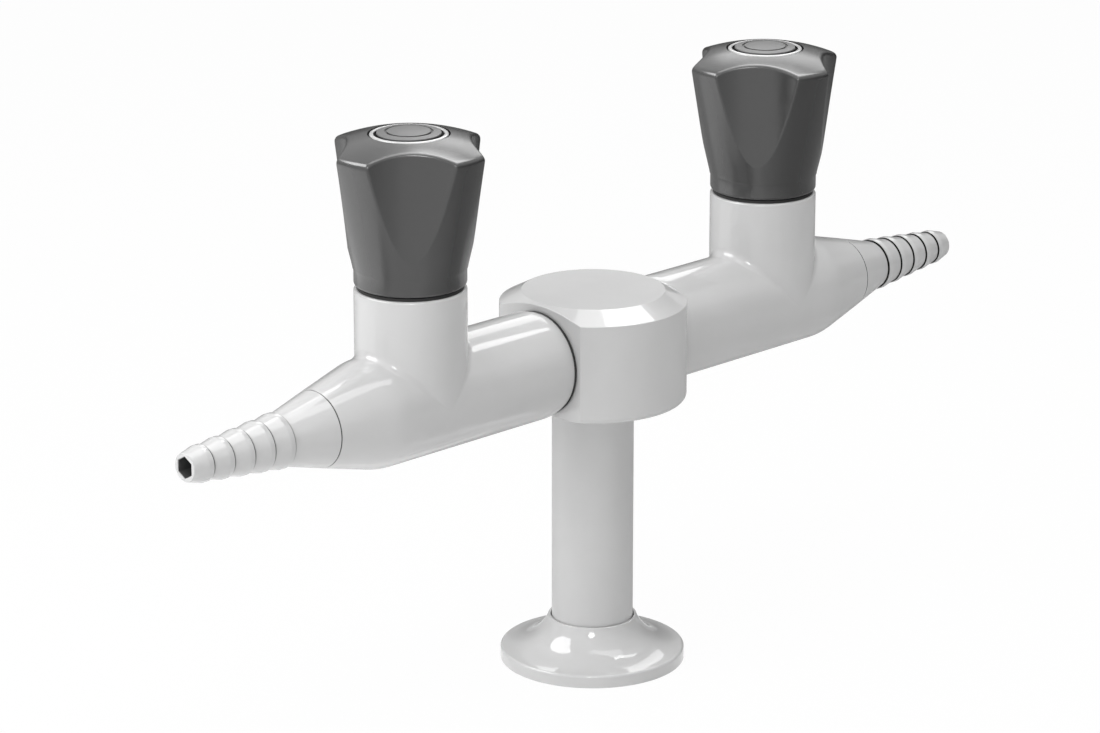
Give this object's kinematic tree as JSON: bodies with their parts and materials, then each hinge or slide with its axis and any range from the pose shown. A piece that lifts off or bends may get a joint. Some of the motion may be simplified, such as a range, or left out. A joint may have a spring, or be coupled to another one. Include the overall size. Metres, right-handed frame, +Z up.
{
  "type": "laboratory needle valve",
  "caption": "Bench column with a central hub carrying opposed horizontal needle valves; each has an upright lobed knob and a barbed hose nozzle with a hexagon key socket.",
  "frame": {"origin": "middle of the bench flange underside", "axes": "+Z up along the column, X along the two arms, the left valve on -X, the front towards -Y"},
  "size_m": [0.3498, 0.0616, 0.196],
  "materials": {
    "coated_brass": "gloss",
    "hub_satin": "satin",
    "column_satin": "satin",
    "knob_plastic": "satin",
    "index_white": "gloss",
    "index_grey": "satin",
    "rubber": "matt",
    "ptfe": "matt",
    "brass": "turned",
    "steel": "turned"
  },
  "bodies": {
    "root": {"bench_flange": "coated_brass", "bench_gasket": "rubber", "column": "column_satin", "inlet_bush": "brass", "column_seal": "rubber", "hub": "hub_satin", "left_body": "coated_brass", "left_hub_seal": "rubber", "left_nipple": "brass", "left_seat": "ptfe", "left_bonnet": "brass", "left_bonnet_seal": "rubber", "left_guide_bush": "brass", "left_thrust_washer": "ptfe", "left_packing": "ptfe", "left_gland_nut": "brass", "left_glide_ring": "rubber", "left_nozzle": "coated_brass", "left_nozzle_seal": "rubber", "right_body": "coated_brass", "right_hub_seal": "rubber", "right_nipple": "brass", "right_seat": "ptfe", "right_bonnet": "brass", "right_bonnet_seal": "rubber", "right_guide_bush": "brass", "right_thrust_washer": "ptfe", "right_packing": "ptfe", "right_gland_nut": "brass", "right_glide_ring": "rubber", "right_nozzle": "coated_brass", "right_nozzle_seal": "rubber"},
    "left_knob_body": {"left_spindle": "steel", "left_knob": "knob_plastic", "left_knob_insert": "brass", "left_knob_screw": "steel", "left_index_ring": "index_white", "left_index_disc": "index_grey"},
    "left_needle_body": {"left_needle": "steel"},
    "right_knob_body": {"right_spindle": "steel", "right_knob": "knob_plastic", "right_knob_insert": "brass", "right_knob_screw": "steel", "right_index_ring": "index_white", "right_index_disc": "index_grey"},
    "right_needle_body": {"right_needle": "steel"}
  },
  "joints": [
    {"name": "left_knob_turn", "type": "hinge", "parent": "root", "child": "left_knob_body", "pos_m": [-0.0814, 0, 0.158], "axis": [0, 0, 1], "range_deg": [0, 945]},
    {"name": "left_needle_lift", "type": "slide", "parent": "root", "child": "left_needle_body", "axis": [0, 0, 1], "range_m": [0, 0.00263]},
    {"name": "right_knob_turn", "type": "hinge", "parent": "root", "child": "right_knob_body", "pos_m": [0.0814, 0, 0.158], "axis": [0, 0, 1], "range_deg": [0, 945]},
    {"name": "right_needle_lift", "type": "slide", "parent": "root", "child": "right_needle_body", "axis": [0, 0, 1], "range_m": [0, 0.00263]}
  ],
  "couplings": [
    {"joint": "left_needle_lift", "follows": "left_knob_turn", "m_per_rad": 0.00015915},
    {"joint": "right_needle_lift", "follows": "right_knob_turn", "m_per_rad": 0.00015915}
  ]
}
